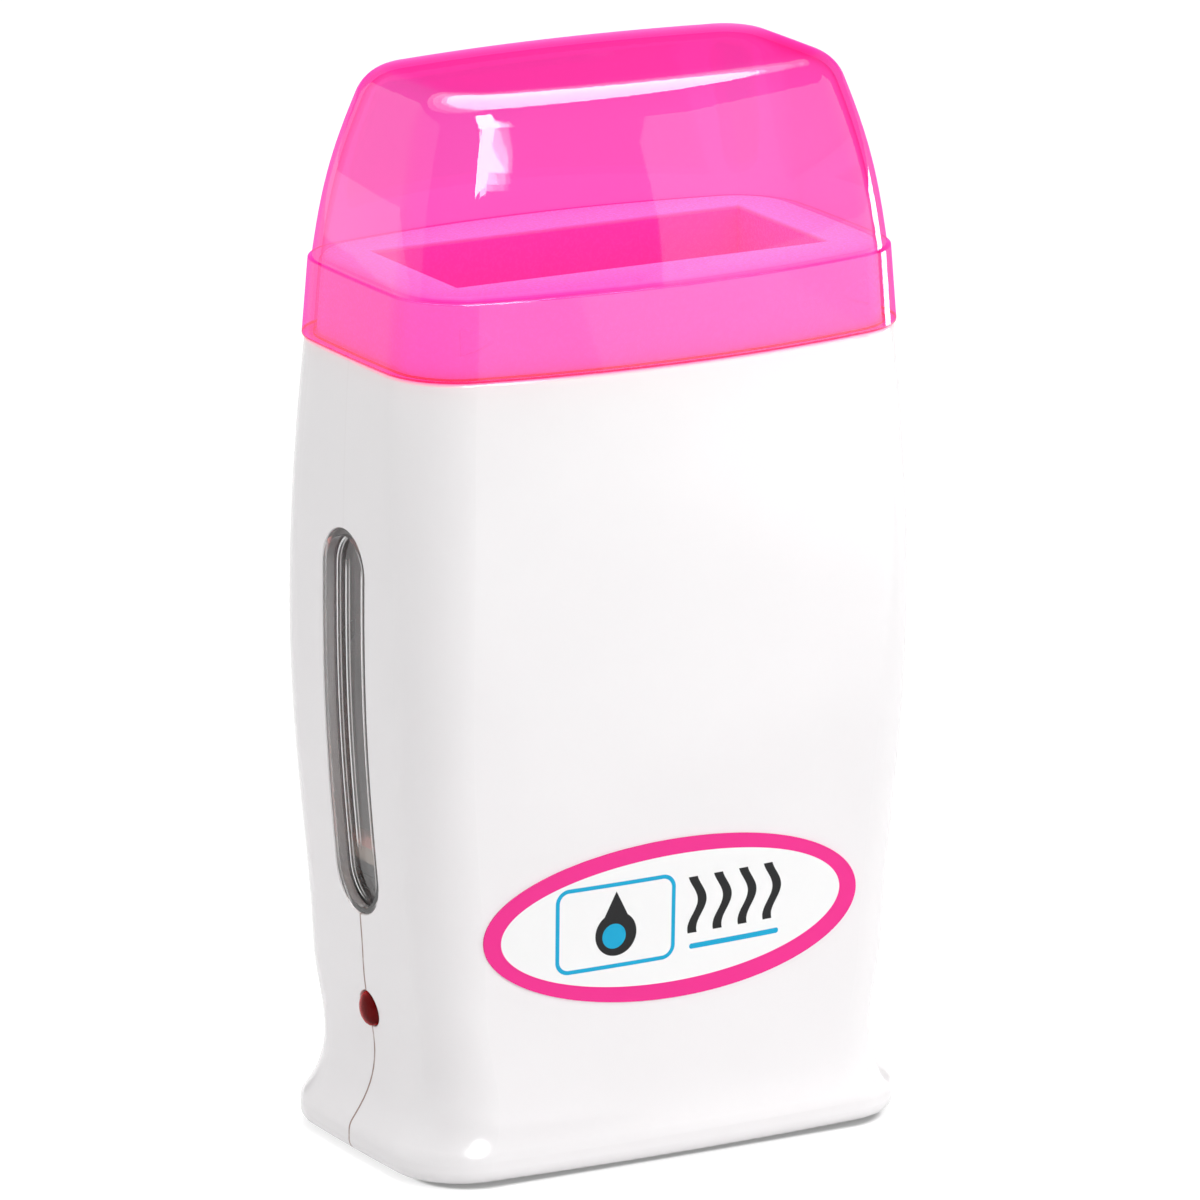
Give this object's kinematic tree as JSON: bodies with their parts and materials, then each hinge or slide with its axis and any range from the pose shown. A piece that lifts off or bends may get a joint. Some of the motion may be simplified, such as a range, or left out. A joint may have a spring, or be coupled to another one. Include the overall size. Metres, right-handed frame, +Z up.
{
  "type": "roll-on wax heater",
  "caption": "Upright heater for a roll-on wax cartridge: white two-part housing, aluminium well, level windows, red pilot lamp and a lift-off transparent pink lid.",
  "frame": {"origin": "centre of the base, on the plane that the rubber feet stand on", "axes": "+Z up towards the lid, -Y is the front with the badge, -X is the side with the pilot lamp"},
  "size_m": [0.1114, 0.0722, 0.2106],
  "materials": {
    "housing_white": "glossy white moulded plastic",
    "lid_pink": "transparent pink moulded plastic",
    "window_smoke": "clear smoky plastic",
    "lens_red": "transparent red plastic",
    "lamp_clear": "tinted lamp body",
    "board": "paper laminate board",
    "resistor": "lacquered resistor",
    "badge": "white printed film with a pink border",
    "well_aluminium": "satin extruded aluminium",
    "well_floor": "beige heat-resistant plastic",
    "heater_element": "heating element in insulating film",
    "clamp_steel": "pressed spring steel",
    "screw_steel": "zinc-plated steel",
    "thermostat": "black moulded body with metal strap",
    "base_plastic": "satin white moulded plastic",
    "rubber_grey": "soft grey rubber",
    "block": "natural nylon",
    "lead_brown": "brown insulation",
    "lead_blue": "blue insulation",
    "lead_white": "white glass-fibre sleeving"
  },
  "bodies": {
    "housing": {"front_shell": "housing_white", "rear_shell": "housing_white", "top_collar": "housing_white", "left_window": "window_smoke", "right_window": "window_smoke", "indicator_lens": "lens_red", "indicator_lamp": "lamp_clear", "lamp_board": "board", "lamp_resistor": "resistor", "front_badge": "badge", "front_heating_plate": "well_aluminium", "rear_heating_plate": "well_aluminium", "well_floor": "well_floor", "front_ptc_heater": "heater_element", "rear_ptc_heater": "heater_element", "front_ptc_clamp": "clamp_steel", "rear_ptc_clamp": "clamp_steel", "well_screws": "screw_steel", "housing_screws": "screw_steel", "thermostat": "thermostat", "base_plate": "base_plastic", "foot_front_left": "rubber_grey", "foot_front_right": "rubber_grey", "foot_rear_left": "rubber_grey", "foot_rear_right": "rubber_grey", "cord_gland": "rubber_grey", "terminal_block": "block", "live_lead": "lead_brown", "thermostat_lead": "lead_brown", "neutral_lead": "lead_blue", "front_heater_leads": "lead_white", "lamp_leads": "lead_white"},
    "lid": {"lid": "lid_pink"}
  },
  "joints": [
    {"name": "lid_lift", "type": "slide", "parent": "housing", "child": "lid", "axis": [0, 0, 1], "range_m": [0, 0.08]}
  ]
}
